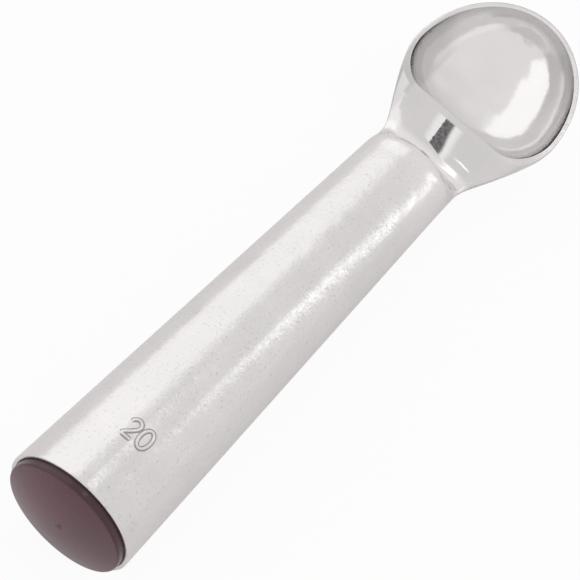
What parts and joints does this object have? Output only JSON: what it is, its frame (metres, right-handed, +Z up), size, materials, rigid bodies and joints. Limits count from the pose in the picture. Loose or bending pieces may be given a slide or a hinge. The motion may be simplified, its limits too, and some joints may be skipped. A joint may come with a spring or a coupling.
{
  "type": "ice cream scoop",
  "caption": "One-piece cast aluminium ice cream scoop with a tapered liquid-filled handle, an oval bowl and a burgundy plastic end cap, lying on its back.",
  "frame": {"origin": "on the ground under the middle of the object's box, as it comes to rest on its back", "axes": "+X along the handle towards the bowl, +Y to the left seen from the butt, +Z up out of the bowl's opening"},
  "size_m": [0.1842, 0.044, 0.031],
  "materials": {
    "cast_aluminium": "satin, tumbled; polished in the bowl",
    "burgundy_plastic": "glossy",
    "clear_liquid": "clear liquid"
  },
  "bodies": {
    "root": {"scoop_body": "cast_aluminium", "end_cap": "burgundy_plastic", "heat_liquid": "clear_liquid"}
  },
  "joints": []
}
